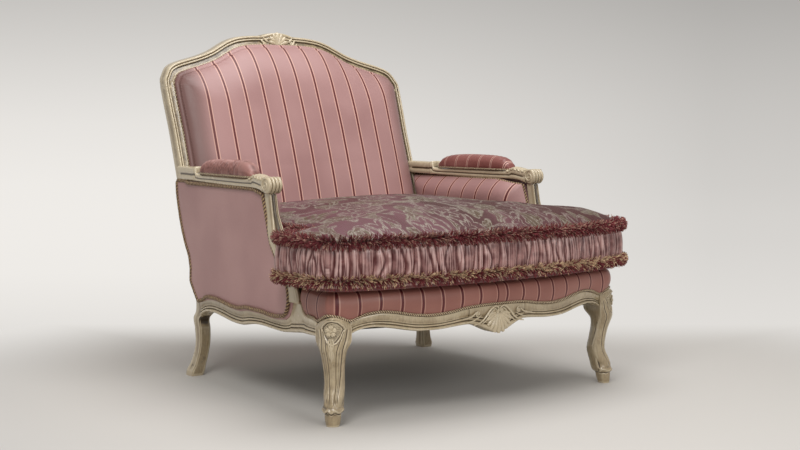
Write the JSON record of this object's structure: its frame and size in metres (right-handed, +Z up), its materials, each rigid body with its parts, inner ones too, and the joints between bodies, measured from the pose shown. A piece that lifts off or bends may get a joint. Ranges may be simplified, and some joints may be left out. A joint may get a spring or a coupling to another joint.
{
  "type": "armchair",
  "caption": "Wide upholstered armchair with a carved painted frame, padded arms, striped satin back and a loose fringed seat cushion.",
  "frame": {"origin": "on the floor under the middle of the chair's bounding box", "axes": "+Z up, the front faces -Y, left pieces lie at -X"},
  "size_m": [1.044, 1.1927, 1.042],
  "materials": {
    "painted_wood": "satin",
    "plain_beech": "matte",
    "striped_satin": "satin",
    "plain_satin": "satin",
    "cord_trim": "matte",
    "jute_webbing": "matte",
    "black_lining": "matte",
    "spring_steel": "satin",
    "brass_screw": "satin",
    "brocade": "satin",
    "ruched_satin": "satin",
    "cushion_lining": "matte",
    "cushion_filling": "matte",
    "fringe_yarn": "matte"
  },
  "bodies": {
    "frame": {"arm_left": "painted_wood", "arm_pad_left": "striped_satin", "arm_pad_right": "striped_satin", "arm_post_left": "painted_wood", "arm_post_right": "painted_wood", "arm_right": "painted_wood", "corner_block_front_left": "plain_beech", "corner_block_front_right": "plain_beech", "corner_block_rear_left": "plain_beech", "corner_block_rear_right": "plain_beech", "corner_block_screw_front_left": "brass_screw", "corner_block_screw_front_right": "brass_screw", "corner_block_screw_rear_left": "brass_screw", "corner_block_screw_rear_right": "brass_screw", "crest_rail": "painted_wood", "dust_cover": "black_lining", "front_leg_left": "painted_wood", "front_leg_right": "painted_wood", "front_seat_rail": "painted_wood", "gimp_inside_back": "cord_trim", "gimp_outside_arm_left": "cord_trim", "gimp_outside_arm_right": "cord_trim", "gimp_outside_back": "cord_trim", "inside_arm_pad_left": "striped_satin", "inside_arm_pad_right": "striped_satin", "inside_back_pad": "striped_satin", "lower_back_rail": "plain_beech", "outside_arm_panel_left": "plain_satin", "outside_arm_panel_right": "plain_satin", "outside_back_panel": "plain_satin", "rear_seat_rail": "painted_wood", "rear_upright_left": "painted_wood", "rear_upright_right": "painted_wood", "seat_deck": "striped_satin", "seat_spring_1": "spring_steel", "seat_spring_2": "spring_steel", "seat_spring_3": "spring_steel", "seat_spring_4": "spring_steel", "seat_spring_5": "spring_steel", "seat_spring_6": "spring_steel", "seat_spring_7": "spring_steel", "seat_spring_8": "spring_steel", "seat_spring_9": "spring_steel", "seat_webbing_crosswise_1": "jute_webbing", "seat_webbing_crosswise_2": "jute_webbing", "seat_webbing_crosswise_3": "jute_webbing", "seat_webbing_lengthwise_1": "jute_webbing", "seat_webbing_lengthwise_2": "jute_webbing", "seat_webbing_lengthwise_3": "jute_webbing", "side_rail_left": "painted_wood", "side_rail_right": "painted_wood", "spring_cloth": "jute_webbing"},
    "seat_cushion": {"cushion_bottom_cover": "cushion_lining", "cushion_core": "cushion_filling", "cushion_band": "ruched_satin", "cushion_top": "brocade", "cushion_fringe_lower": "fringe_yarn", "cushion_fringe_upper": "fringe_yarn"}
  },
  "joints": [
    {"name": "cushion_lift", "type": "slide", "parent": "frame", "child": "seat_cushion", "axis": [0, 0, 1], "range_m": [0, 0.35]}
  ]
}
